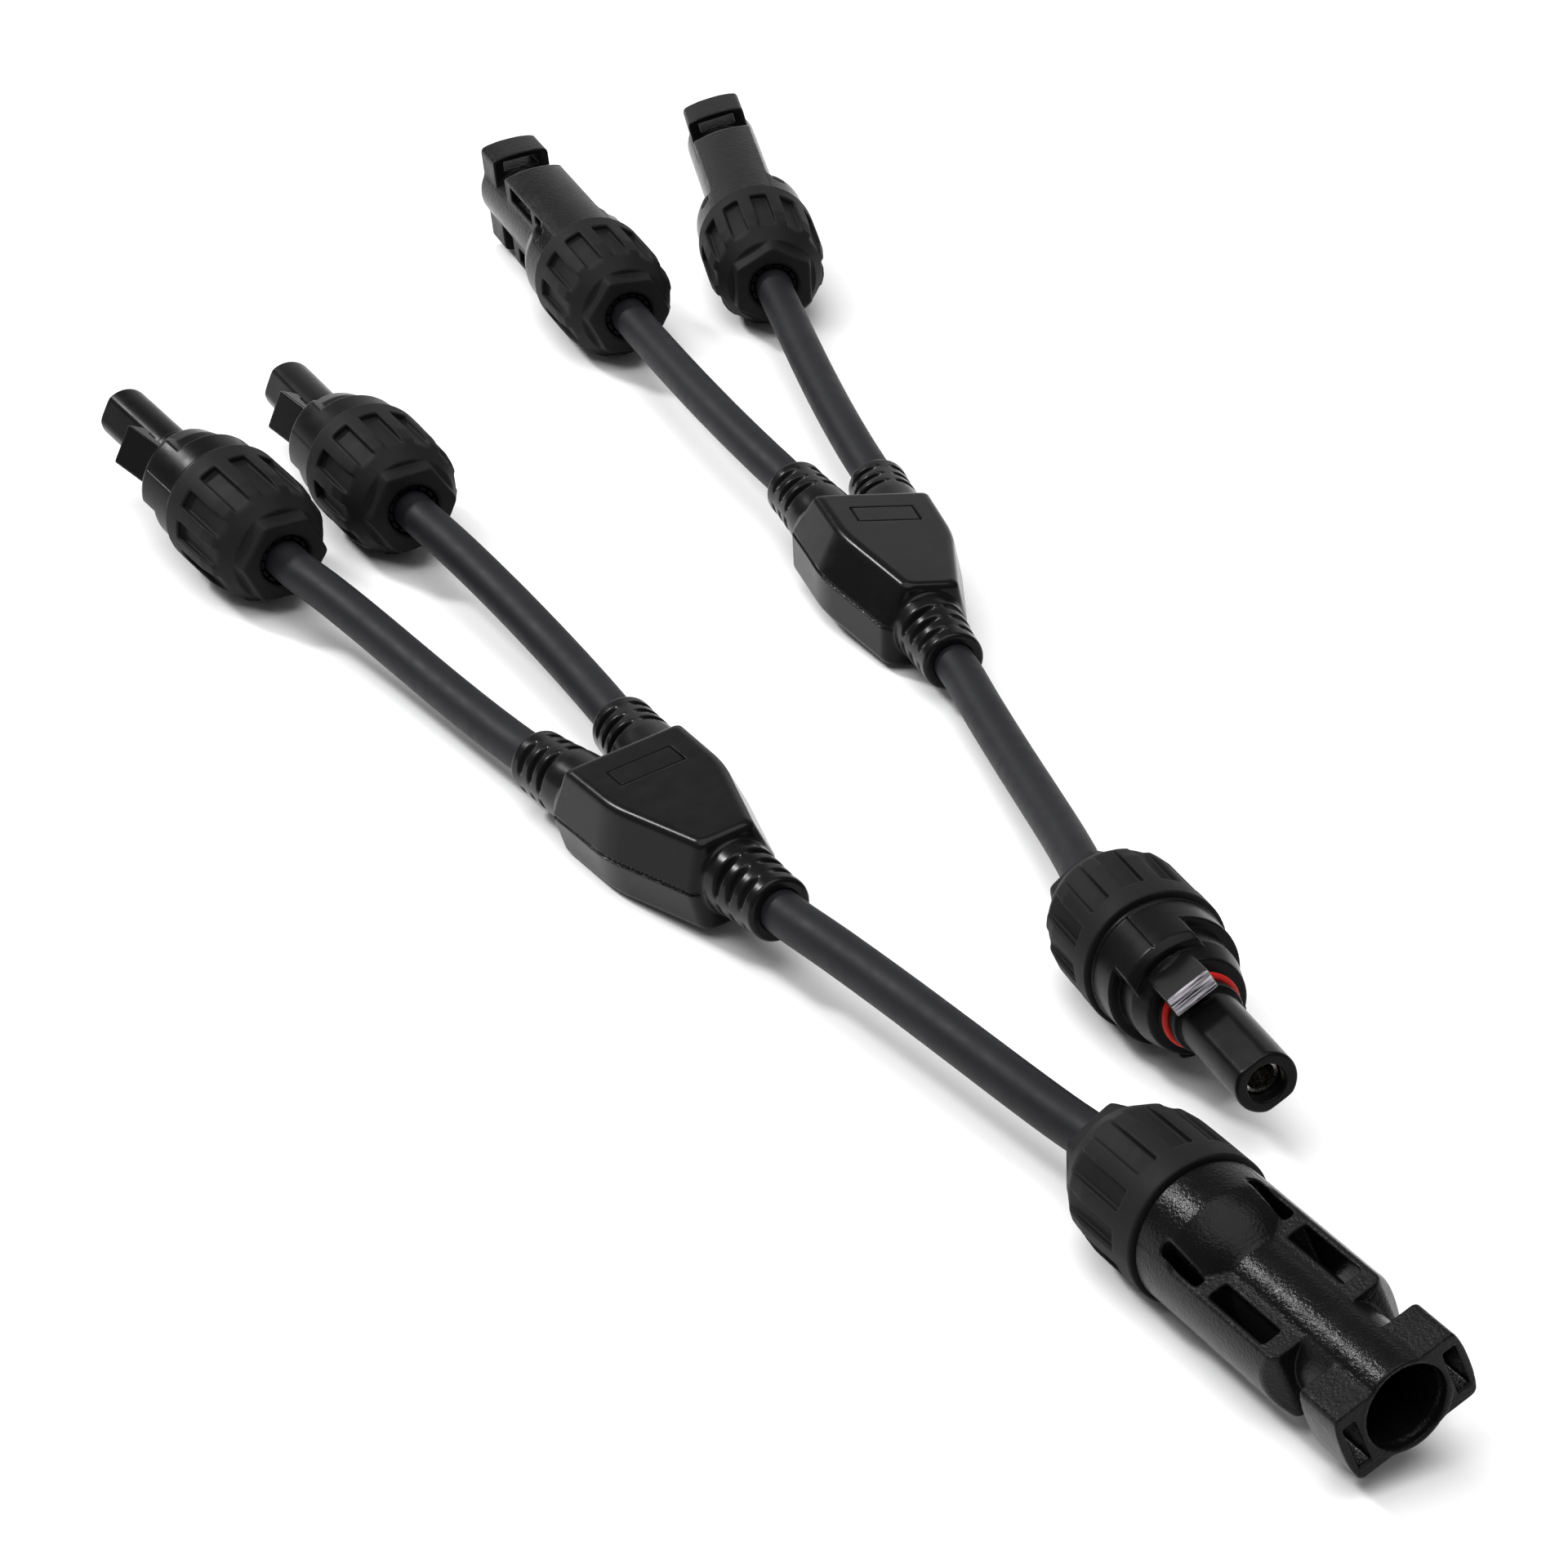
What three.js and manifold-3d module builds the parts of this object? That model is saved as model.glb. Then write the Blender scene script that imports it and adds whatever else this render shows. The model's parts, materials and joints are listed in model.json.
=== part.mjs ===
// Pair of Y-branch solar cable assemblies: each has a moulded junction, three cables and
// three screw-gland connectors. Units are millimetres, +Z is up, the floor is Z = 0.
// Connector frame: Z along the axis from cable to tip, measured from the cap nut's rear face;
// Y is the latch-arm direction of a plug and the flat-face normal of a socket.
import * as THREE from "three";
import Module from "manifold-3d";

const wasm = await Module();
wasm.setup();

// Cable
const CABLE_R = 2.93;
const CABLE_STEP = 6;
const CABLE_SIDES = 10;
const CABLE_STRAIGHT = 2.5;
const CABLE_INNER_L = 10.6;

// Cap nut
const NUT_L = 19.0;
const NUT_R = 9.6;
const NUT_BORE_R = 7.9;
const NUT_MOUTH_R = 3.9;
const NUT_PROFILE = [[0, 6.8], [2.3, 7.2], [5.6, 9.15], [8.5, 9.55], [12.0, 9.6], [18.7, 9.6]];
const NUT_HEX_APOTHEM = 5.95;
const NUT_HEX_APOTHEM_FRONT = 6.4;
const NUT_HEX_L = 2.2;
const NUT_RECESSES = 12;
const NUT_RECESS_W = 2.6;
const NUT_RECESS_FLOOR = 8.6;
const NUT_RECESS_L0 = 3.4;
const NUT_RECESS_L1 = 15.2;
const NUT_SIDES = 24;

// Clamping basket and gland seal inside the nut
const BASKET_R = 3.7;
const BASKET_BORE_R = 3.3;
const BASKET_L0 = 0.6;
const BASKET_COLLAR_L = 9.2;
const BASKET_L1 = 10.4;
const BASKET_COLLAR_R = 6.9;
const BASKET_SLOTS = 3;
const SEAL_R = 5.2;
const SEAL_BORE_R = 3.1;
const SEAL_L0 = 12.3;
const SEAL_L1 = 17.0;

// Shared rear stub of both housings
const STUB_R = 7.6;
const STUB_L0 = 11.6;
const STUB_POCKET_R = 5.3;
const STUB_POCKET_L1 = 17.3;
const SEAM = 0.15;

// Socket housing
const SHELL_R = 9.0;
const SHELL_HALF_T = 4.9;
const SHELL_RIM_L1 = 21.6;
const TUBE_R = 5.85;
const TUBE_BORE_R = 5.2;
const TUBE_L1 = 58.1;
const BORE_L0 = 38.0;
const WING_L1 = 45.9;
const WINDOW_SMALL = [23.5, 30.2, 5.5, 7.1];
const WINDOW_LARGE = [32.4, 43.0, 4.4, 7.0];
const COLLAR_L0 = 51.3;
const COLLAR_HALF_W = 8.8;
const COLLAR_FLAT_HALF_W = 7.6;
const SLOT_S0 = 5.95;
const SLOT_S1 = 7.7;
const SLOT_HALF_H = 3.1;
const PIN_R = 2.0;
const PIN_L0 = 38.4;
const PIN_L1 = 52.0;

// Plug housing
const PLUG_R = 8.75;
const PAD_HALF_W = 5.0;
const LOBE_HALF_T = 4.5;
const PAD_L1 = 29.0;
const LOBE_L1 = 31.0;
const LOBE_FRONT_R = 6.5;
const CORE_R = 5.0;
const GROOVE_L0 = 31.5;
const GROOVE_L1 = 32.7;
const GROOVE_R = 4.2;
const RING_R = 5.15;
const NECK_R = 4.6;
const NECK_L1 = 34.5;
const BARREL_R = 4.0;
const BARREL_FLAT = 3.5;
const BARREL_FLAT_L0 = 36.3;
const BARREL_L1 = 50.9;
const BARREL_BORE_R = 2.45;
const BARREL_BORE_L0 = 36.0;
const CONTACT_R = 2.3;
const CONTACT_BORE_R = 1.9;
const CONTACT_L1 = 48.8;

// Latch arm
const ARM_HALF_W = 3.0;
const ARM_L0 = 29.15;
const ARM_L1 = 37.0;
const ARM_IN = 5.5;
const ARM_OUT = 6.55;
const ARM_LIP_L0 = 35.0;
const ARM_LIP_IN = 5.0;
const ARM_HOOK_H = 8.1;

// Moulded junction, frame: X across, Y towards the trunk cable, Z up from mid height
const MOULD_HALF_T = 6.37;
const MOULD_RECESS = [9.4, 4.3, 0.25];
const MOULD_MID = [[11.0, -8.8], [10.6, 5.0], [6.0, 21.8], [4.6, 22.6]];
const MOULD_TOP = [[8.9, -7.0], [8.6, 4.6], [4.3, 21.9], [3.4, 22.3]];
const MOULD_SHOULDER_Z = 3.4;
const BOOT_R_BASE = 5.0;
const BOOT_R_END = 4.3;
const BOOT_BORE_R = 3.2;
const BOOT_GROOVE_DEPTH = 0.75;
const BOOT_GROOVE_W = 1.2;
const BOOT_GROOVE_PITCH = 2.65;
const BOOT_GROOVE_END = 3.0;
const CABLE_LEAD = 3.2;
const BOOT_SIDES = 14;
const TRUNK_BASE = [0, 20.5];
const TRUNK_LEAD = [-0.45, 36.4];
const BRANCH_BASE = [4.9, -7.5];
const BRANCH_LEAD_Y = -24.6;
const CAVITY = [3.9, -3.0, 9.0];
const SPLICE = [3.2, -2.4, 8.4];

// Where each connector lies: rear of the cap nut, heading and tilt of its axis, and turns
const CONNECTORS = {
  a_plug_1: { rear: [-71.26, 49.31, 8.88], heading: 123.68, tilt: 4.48, turn: -66.2, nut: 61.1 },
  a_plug_2: { rear: [-53.98, 64.23, 9.72], heading: 116.41, tilt: -0.48, turn: -67.8, nut: 55.0 },
  a_socket: { rear: [37.63, -104.88, 9.45], heading: -60.55, tilt: 1.03, turn: 23.4, nut: 32.0 },
  b_socket_1: { rear: [-24.87, 136.73, 9.5], heading: 111.37, tilt: 0.68, turn: 82.9, nut: 62.0 },
  b_socket_2: { rear: [-2.03, 149.79, 9.2], heading: 99.25, tilt: 2.57, turn: 74.6, nut: 87.3 },
  b_plug: { rear: [39.3, -45.4, 9.2], heading: -70.04, tilt: 2.59, turn: 32.0, nut: 40.0 },
};

// Where each junction lies, and how far across its two branch cables come straight
const JUNCTIONS = {
  a: { at: [-16.92, -20.98, 8.0], heading: -60.6, tilt: 1.91, roll: 9.19, left: 7.03, right: 6.54 },
  b: { at: [13.68, 55.38, 7.75], heading: -73.46, tilt: -2.44, roll: -5.62, left: 6.56, right: 7.14 },
};

// Cable runs: turn on leaving the nut and on reaching the boot, and the pull at each end
const RUNS = [
  { name: "a_cable_1", from: "a_plug_1", boot: "right", turn: 6.7, fan: 4.1, pull: [0.9, 1.08] },
  { name: "a_cable_2", from: "a_plug_2", boot: "left", turn: 3.2, fan: -6.9, pull: [0.89, 0.94] },
  { name: "a_trunk", from: "a_socket", boot: "trunk", turn: 7.6, fan: 5.2, pull: [0.67, 1.22] },
  { name: "b_cable_1", from: "b_socket_1", boot: "right", turn: -0.5, fan: 11.5, pull: [0.97, 0.97] },
  { name: "b_cable_2", from: "b_socket_2", boot: "left", turn: 2.8, fan: -0.4, pull: [1.01, 1.07] },
  { name: "b_trunk", from: "b_plug", boot: "trunk", turn: -15.0, fan: -2.3, pull: [0.5, 1.35] },
];

// Centre of the pair in plan, taken to the origin
const PLAN_CENTRE = [-14.36, 24.3];

const COLOURS = {
  nut: 0x1b1b1c, housing: 0x161617, junction: 0x141415, cable: 0x1c1e22,
  seal: 0x2a2a2b, ring: 0xb3201a, metal: 0xb9b4a8, brass: 0xb98a4a,
};

const rad = (deg) => (deg * Math.PI) / 180;

// Manifold helpers

function toGeometry(solid) {
  const mesh = solid.getMesh();
  const geometry = new THREE.BufferGeometry();
  const points = new Float32Array(mesh.numVert * 3);
  for (let i = 0; i < mesh.numVert; i += 1) {
    for (let k = 0; k < 3; k += 1) points[i * 3 + k] = mesh.vertProperties[i * mesh.numProp + k];
  }
  geometry.setAttribute("position", new THREE.BufferAttribute(points, 3));
  geometry.setIndex(Array.from(mesh.triVerts));
  geometry.computeVertexNormals();
  return geometry;
}

// Closed solid through equal-length rings of points, each counter-clockwise seen from the front
function loft(rings) {
  const n = rings[0].length;
  const coords = rings.flat(2);
  const tris = [];
  for (let r = 0; r + 1 < rings.length; r += 1) {
    for (let i = 0; i < n; i += 1) {
      const j = (i + 1) % n;
      const a = r * n + i;
      const b = r * n + j;
      tris.push(a, b, b + n, a, b + n, a + n);
    }
  }
  [0, rings.length - 1].forEach((r) => {
    const centre = [0, 1, 2].map((k) => rings[r].reduce((sum, p) => sum + p[k], 0) / n);
    const hub = coords.length / 3;
    coords.push(...centre);
    for (let i = 0; i < n; i += 1) {
      const a = r * n + i;
      const b = r * n + ((i + 1) % n);
      if (r === 0) tris.push(hub, b, a);
      else tris.push(hub, a, b);
    }
  });
  return new wasm.Manifold(new wasm.Mesh({
    numProp: 3,
    vertProperties: new Float32Array(coords),
    triVerts: new Uint32Array(tris),
  }));
}

// Solid of revolution about Z from [z, radius] pairs
function turned(profile, sides) {
  return loft(profile.map(([z, r]) => Array.from({ length: sides }, (_, i) => {
    const t = (2 * Math.PI * i) / sides;
    return [r * Math.cos(t), r * Math.sin(t), z];
  })));
}

function rod(r, z0, z1, sides = 24) {
  return turned([[z0, r], [z1, r]], sides);
}

function box(x0, x1, y0, y1, z0, z1) {
  const ring = (z) => [[x0, y0, z], [x1, y0, z], [x1, y1, z], [x0, y1, z]];
  return loft([ring(z0), ring(z1)]);
}

// Prism of an X-Y outline between two heights
function prism(outline, z0, z1) {
  return loft([outline.map(([x, y]) => [x, y, z0]), outline.map(([x, y]) => [x, y, z1])]);
}

function union(parts) {
  return parts.reduce((sum, part) => sum.add(part));
}

function cut(body, parts) {
  return parts.reduce((rest, part) => rest.subtract(part), body);
}

function spun(solid, degrees) {
  return solid.rotate([0, 0, degrees]);
}

// Connector pieces, all in the connector frame

function hexagon(apothem, z) {
  return Array.from({ length: 6 }, (_, i) => {
    const t = rad(60 * i);
    return [(apothem / Math.cos(rad(30))) * Math.cos(t), (apothem / Math.cos(rad(30))) * Math.sin(t), z];
  });
}

function capNut() {
  const outside = turned([...NUT_PROFILE, [NUT_L - SEAM, 9.4]], NUT_SIDES);
  const hex = loft([hexagon(NUT_HEX_APOTHEM, -0.1), hexagon(NUT_HEX_APOTHEM_FRONT, NUT_HEX_L)]);
  const front = rod(NUT_R + 1, NUT_HEX_L - 0.01, NUT_L + 1);
  const bore = turned([[-1, NUT_MOUTH_R], [2.6, NUT_MOUTH_R], [7.6, NUT_BORE_R],
    [NUT_L + 1, NUT_BORE_R]], 18);
  const recess = box(NUT_RECESS_FLOOR, NUT_R + 1, -NUT_RECESS_W / 2, NUT_RECESS_W / 2,
    NUT_RECESS_L0, NUT_RECESS_L1);
  const recesses = Array.from({ length: NUT_RECESSES }, (_, i) => spun(recess, (360 * i) / NUT_RECESSES));
  return cut(outside.intersect(hex.add(front)), [bore, ...recesses]);
}

function clampBasket() {
  const body = turned([[BASKET_L0, BASKET_R], [BASKET_COLLAR_L - 1.5, BASKET_R],
    [BASKET_COLLAR_L, BASKET_COLLAR_R], [BASKET_L1, BASKET_COLLAR_R]], 14);
  const bore = rod(BASKET_BORE_R, -1, BASKET_L1 + 1, 14);
  const slot = box(-5, 5, -0.35, 0.35, -1, 5.2);
  const slots = Array.from({ length: BASKET_SLOTS }, (_, i) => spun(slot, (180 * i) / BASKET_SLOTS));
  return cut(body, [bore, ...slots]);
}

function glandSeal() {
  return cut(rod(SEAL_R, SEAL_L0, SEAL_L1, 14), [rod(SEAL_BORE_R, SEAL_L0 - 1, SEAL_L1 + 1, 14)]);
}

function rearStub(joinL) {
  const stub = rod(STUB_R, STUB_L0, joinL, 18);
  return stub.subtract(rod(STUB_POCKET_R, STUB_L0 - 1, STUB_POCKET_L1, 14));
}

function arcOutline(radius, halfT, steps) {
  const limit = Math.asin(halfT / radius);
  const right = Array.from({ length: steps + 1 }, (_, i) => {
    const t = -limit + (2 * limit * i) / steps;
    return [radius * Math.cos(t), radius * Math.sin(t)];
  });
  return [...right, ...right.map(([x, y]) => [-x, -y])];
}

function windows([l0, l1, s0, s1]) {
  const one = box(s0, s1, -6, 6, l0, l1);
  return [one, spun(one, 180)];
}

function socketShell() {
  const rim = rod(SHELL_R, NUT_L + SEAM, SHELL_RIM_L1, NUT_SIDES);
  const wings = prism(arcOutline(SHELL_R, SHELL_HALF_T, 6), SHELL_RIM_L1 - 0.1, WING_L1);
  const dome = turned([[SHELL_RIM_L1 - 0.1, SHELL_R], [24.5, 8.6], [27.0, 7.9], [29.5, 7.0],
    [32.3, TUBE_R]], NUT_SIDES);
  const openings = [...windows(WINDOW_SMALL), ...windows(WINDOW_LARGE)];
  return rim.add(cut(wings.add(dome), openings));
}

function socketCollar() {
  const side = Array.from({ length: 5 }, (_, i) => {
    const y = SHELL_HALF_T * (-1 + i / 2);
    const bulge = COLLAR_HALF_W - COLLAR_FLAT_HALF_W;
    return [COLLAR_FLAT_HALF_W + bulge * Math.cos((y / SHELL_HALF_T) * Math.PI / 2), y];
  });
  const outline = [...side, ...side.map(([x, y]) => [-x, -y])];
  const slot = box(SLOT_S0, SLOT_S1, -SLOT_HALF_H, SLOT_HALF_H, COLLAR_L0 - 1, TUBE_L1 + 1);
  return cut(prism(outline, COLLAR_L0, TUBE_L1), [slot, spun(slot, 180)]);
}

function socketHousing() {
  const tube = rod(TUBE_R, 24, TUBE_L1, NUT_SIDES);
  const bore = turned([[BORE_L0, TUBE_BORE_R - 0.3], [TUBE_L1 - 0.5, TUBE_BORE_R - 0.3],
    [TUBE_L1 + 0.1, TUBE_BORE_R]], 16);
  const body = union([rearStub(NUT_L + SEAM + 0.1), socketShell(), tube, socketCollar()]);
  return body.subtract(bore);
}

function pinContact() {
  return turned([[PIN_L0, PIN_R + 1.2], [PIN_L0 + 1.2, PIN_R + 1.2], [PIN_L0 + 1.5, PIN_R],
    [PIN_L1 - 1.6, PIN_R], [PIN_L1, 1.0]], 16);
}

function plugHousing() {
  const round = turned([[NUT_L + SEAM, PLUG_R], [28.0, PLUG_R], [LOBE_L1, LOBE_FRONT_R]], NUT_SIDES);
  const pads = box(-PAD_HALF_W, PAD_HALF_W, -9, 9, NUT_L, PAD_L1);
  const lobes = box(-9, 9, -LOBE_HALF_T, LOBE_HALF_T, NUT_L, LOBE_L1 + 1);
  const flange = rod(8.9, NUT_L + SEAM, NUT_L + 0.8, NUT_SIDES);
  const core = turned([[24, CORE_R], [GROOVE_L0, CORE_R], [GROOVE_L0, GROOVE_R],
    [GROOVE_L1, GROOVE_R], [GROOVE_L1, NECK_R], [NECK_L1, NECK_R], [NECK_L1 + 0.6, BARREL_R],
    [BARREL_L1, BARREL_R]], 20);
  const flat = box(-5, 5, BARREL_FLAT, 6, BARREL_FLAT_L0, BARREL_L1 + 1);
  const bore = rod(BARREL_BORE_R, BARREL_BORE_L0, BARREL_L1 + 1, 14);
  const body = union([round.intersect(pads.add(lobes)), flange, rearStub(NUT_L + SEAM + 0.1), core]);
  return cut(body, [flat, spun(flat, 180), bore]);
}

function oRing() {
  return cut(rod(RING_R, GROOVE_L0 + 0.1, GROOVE_L1 - 0.1, 20),
    [rod(GROOVE_R + 0.1, GROOVE_L0, GROOVE_L1, 20)]);
}

function socketContact() {
  const tube = rod(CONTACT_R, BARREL_BORE_L0 + 0.2, CONTACT_L1, 14);
  return cut(tube, [rod(CONTACT_BORE_R, BARREL_BORE_L0 + 2, CONTACT_L1 + 1, 14)]);
}

function latchArm() {
  const outline = [[ARM_L0, ARM_LIP_IN], [ARM_L1, ARM_LIP_IN], [ARM_L1, ARM_HOOK_H], [ARM_L0, ARM_OUT]];
  const ring = (x) => outline.map(([z, y]) => [x, y, z]);
  const wedge = loft([ring(ARM_HALF_W), ring(-ARM_HALF_W)]);
  const clearance = box(-ARM_HALF_W - 1, ARM_HALF_W + 1, 0, ARM_IN, ARM_L0 - 1, ARM_LIP_L0);
  return wedge.subtract(clearance);
}

// Junction pieces, all in the junction frame

function mirroredOutline(half) {
  return [...half, ...half.map(([x, y]) => [-x, y]).reverse()];
}

function mouldBlock() {
  const mid = mirroredOutline(MOULD_MID);
  const top = mirroredOutline(MOULD_TOP);
  const at = (outline, z) => outline.map(([x, y]) => [x, y, z]);
  const soft = top.map(([x, y], i) => [(x + mid[i][0]) / 2 + Math.sign(x) * 0.55, (y + mid[i][1]) / 2]);
  return loft([at(top, -MOULD_HALF_T), at(soft, -MOULD_HALF_T + 1.0), at(mid, -MOULD_SHOULDER_Z),
    at(mid, MOULD_SHOULDER_Z), at(soft, MOULD_HALF_T - 1.0), at(top, MOULD_HALF_T)]);
}

// Boot along +Z from its base, with arched grooves on its four sides
function boot(length, depth) {
  const body = turned([[-depth, BOOT_R_BASE], [length * 0.35, BOOT_R_BASE * 0.97],
    [length - 0.6, BOOT_R_END], [length, BOOT_R_END - 0.5]], BOOT_SIDES);
  const grooves = [];
  for (let i = 0; i < 3; i += 1) {
    const z = length - BOOT_GROOVE_END - i * BOOT_GROOVE_PITCH;
    const bar = box(-2.4, 2.4, BOOT_R_END - BOOT_GROOVE_DEPTH + 0.15, 7, z, z + BOOT_GROOVE_W);
    for (let side = 0; side < 4; side += 1) grooves.push(spun(bar, 45 + 90 * side));
  }
  return cut(body, grooves);
}

// A boot's axis from its base to the lead, where the cable's straight stretch begins
function bootFrame(key, junction) {
  if (key === "trunk") return { base: TRUNK_BASE, lead: TRUNK_LEAD };
  const side = key === "left" ? -1 : 1;
  return {
    base: [side * BRANCH_BASE[0], BRANCH_BASE[1]],
    lead: [side * junction[key], BRANCH_LEAD_Y],
  };
}

function alongBoot(solid, { base, lead }) {
  const heading = (Math.atan2(lead[1] - base[1], lead[0] - base[0]) * 180) / Math.PI;
  return solid.rotate([90, 0, 90 + heading]).translate([base[0], base[1], 0]);
}

function bootLength({ base, lead }) {
  return Math.hypot(lead[0] - base[0], lead[1] - base[1]) - CABLE_LEAD;
}

function moulding(junction) {
  const frames = ["left", "right", "trunk"].map((key) => bootFrame(key, junction));
  const boots = frames.map((frame) => alongBoot(boot(bootLength(frame), 1.5), frame));
  const bores = frames.map((frame) => {
    const depth = frame.base === TRUNK_BASE ? 13.5 : 4.5;
    return alongBoot(rod(BOOT_BORE_R, -depth, bootLength(frame) + 1, 12), frame);
  });
  const [w, h, deep] = MOULD_RECESS;
  const mark = box(-w / 2, w / 2, -h / 2, h / 2, MOULD_HALF_T - deep, MOULD_HALF_T + 1);
  const cavity = box(-6.5, 6.5, CAVITY[1], CAVITY[2], -CAVITY[0], CAVITY[0]);
  return cut(union([mouldBlock(), ...boots]), [...bores, mark, cavity]);
}

function splice() {
  return box(-6.0, 6.0, SPLICE[1], SPLICE[2], -SPLICE[0], SPLICE[0]);
}

// Placement

function basis(x, y, z, at) {
  const m = new THREE.Matrix4().makeBasis(x, y, z);
  m.setPosition(new THREE.Vector3(...at));
  return m;
}

function axisFrame(at, heading, tilt, roll) {
  const h = rad(heading);
  const t = rad(tilt);
  const d = new THREE.Vector3(Math.cos(h) * Math.cos(t), Math.sin(h) * Math.cos(t), Math.sin(t));
  const s = new THREE.Vector3(-Math.sin(h), Math.cos(h), 0);
  const u = new THREE.Vector3().crossVectors(d, s);
  const r = rad(roll);
  const s2 = s.clone().multiplyScalar(Math.cos(r)).addScaledVector(u, Math.sin(r));
  const u2 = new THREE.Vector3().crossVectors(d, s2);
  return { d, s: s2, u: u2, at };
}

function connectorMatrix({ rear, heading, tilt }, turn) {
  const { d, s, u, at } = axisFrame(rear, heading, tilt, turn);
  return basis(s, u, d, at);
}

function junctionMatrix({ at, heading, tilt, roll }) {
  const { d, s, u } = axisFrame(at, heading, tilt, roll);
  return basis(s.negate(), d, u, at);
}

function cablePath(run) {
  const c = CONNECTORS[run.from];
  const junction = JUNCTIONS[run.name[0]];
  const start = axisFrame(c.rear, c.heading, c.tilt, 0);
  const out = new THREE.Vector3(...c.rear);
  const onAxis = (l) => out.clone().addScaledVector(start.d, l);
  const { base, lead } = bootFrame(run.boot, junction);
  const m = junctionMatrix(junction);
  const inJunction = (x, y) => new THREE.Vector3(x, y, 0).applyMatrix4(m);
  const p0 = onAxis(-CABLE_STRAIGHT);
  const p1 = inJunction(...lead);
  const reach = p0.distanceTo(p1);
  const t0 = start.d.clone().negate().applyAxisAngle(new THREE.Vector3(0, 0, 1), rad(run.turn));
  const along = new THREE.Vector3(base[0] - lead[0], base[1] - lead[1], 0).transformDirection(m);
  const straight = inJunction(0, run.boot === "trunk" ? -1 : 1).sub(inJunction(0, 0));
  const upward = new THREE.Vector3(0, 0, 1).transformDirection(m);
  const t1 = straight.clone().applyAxisAngle(upward, rad(run.fan));
  const hermite = (t) => {
    const [a, b] = [t * t * (3 - 2 * t), t * (1 - t)];
    return p0.clone().lerp(p1, a).addScaledVector(t0, reach * run.pull[0] * b * (1 - t))
      .addScaledVector(t1, -reach * run.pull[1] * b * t);
  };
  const middle = [0.14, 0.3, 0.5, 0.7, 0.88].map(hermite);
  const inner = [1.5, 8, 14].map((l) => p1.clone().addScaledVector(along, l));
  return [onAxis(CABLE_INNER_L), onAxis(5), onAxis(0), p0, ...middle, p1, ...inner];
}

function cableSolid(run) {
  const curve = new THREE.CatmullRomCurve3(cablePath(run), false, "centripetal");
  const count = Math.round(curve.getLength() / CABLE_STEP);
  const rings = [];
  for (let i = 0; i <= count; i += 1) {
    const p = curve.getPointAt(i / count);
    const d = curve.getTangentAt(i / count);
    const x = new THREE.Vector3(0, 0, 1).cross(d).normalize();
    const y = new THREE.Vector3().crossVectors(d, x);
    rings.push(Array.from({ length: CABLE_SIDES }, (_, k) => {
      const t = (2 * Math.PI * k) / CABLE_SIDES;
      return p.clone().addScaledVector(x, CABLE_R * Math.cos(t)).addScaledVector(y, CABLE_R * Math.sin(t))
        .toArray();
    }));
  }
  return loft(rings);
}

// Assembly

const root = new THREE.Group();
root.name = "solar_cable_connector_pair";

function addPart(name, solid, matrix, colour, metalness = 0) {
  const material = new THREE.MeshStandardMaterial({ color: colour, roughness: 0.55, metalness });
  material.name = `${name}_material`;
  const mesh = new THREE.Mesh(toGeometry(solid), material);
  mesh.name = name;
  mesh.applyMatrix4(matrix);
  mesh.position.x -= PLAN_CENTRE[0];
  mesh.position.y -= PLAN_CENTRE[1];
  root.add(mesh);
}

const NUT = capNut();
const BASKET = clampBasket();
const SEAL = glandSeal();
const SOCKET = socketHousing();
const PIN = pinContact();
const PLUG = plugHousing();
const RING = oRing();
const CONTACT = socketContact();
const ARM = latchArm();

Object.entries(CONNECTORS).forEach(([name, place]) => {
  const still = connectorMatrix(place, place.turn);
  const wound = connectorMatrix(place, place.nut);
  addPart(`${name}_cap_nut`, NUT, wound, COLOURS.nut);
  addPart(`${name}_clamp_basket`, BASKET, wound, COLOURS.seal);
  addPart(`${name}_gland_seal`, SEAL, still, COLOURS.seal);
  if (name.includes("socket")) {
    addPart(`${name}_housing`, SOCKET, still, COLOURS.housing);
    addPart(`${name}_pin_contact`, PIN, still, COLOURS.metal, 1);
  } else {
    addPart(`${name}_housing`, PLUG, still, COLOURS.housing);
    addPart(`${name}_socket_contact`, CONTACT, still, COLOURS.metal, 1);
    addPart(`${name}_o_ring`, RING, still, COLOURS.ring);
    addPart(`${name}_latch_arm_a`, ARM, still, COLOURS.housing);
    addPart(`${name}_latch_arm_b`, spun(ARM, 180), still, COLOURS.housing);
  }
});

Object.entries(JUNCTIONS).forEach(([key, junction]) => {
  const matrix = junctionMatrix(junction);
  addPart(`${key}_moulding`, moulding(junction), matrix, COLOURS.junction);
  addPart(`${key}_splice`, splice(), matrix, COLOURS.brass, 1);
});

RUNS.forEach((run) => addPart(run.name, cableSolid(run), new THREE.Matrix4(), COLOURS.cable));

export default root;
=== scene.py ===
"""Looks of the pair of Y-branch solar cable assemblies.

Every moulded piece is the zero surface of a distance function with soft edges, in millimetres,
in the frame of its connector or junction, and is placed as the CAD places it.
"""

import json
import math
from functools import partial

import bpy
import numpy as np
from mathutils import Matrix, Quaternion, Vector


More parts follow.
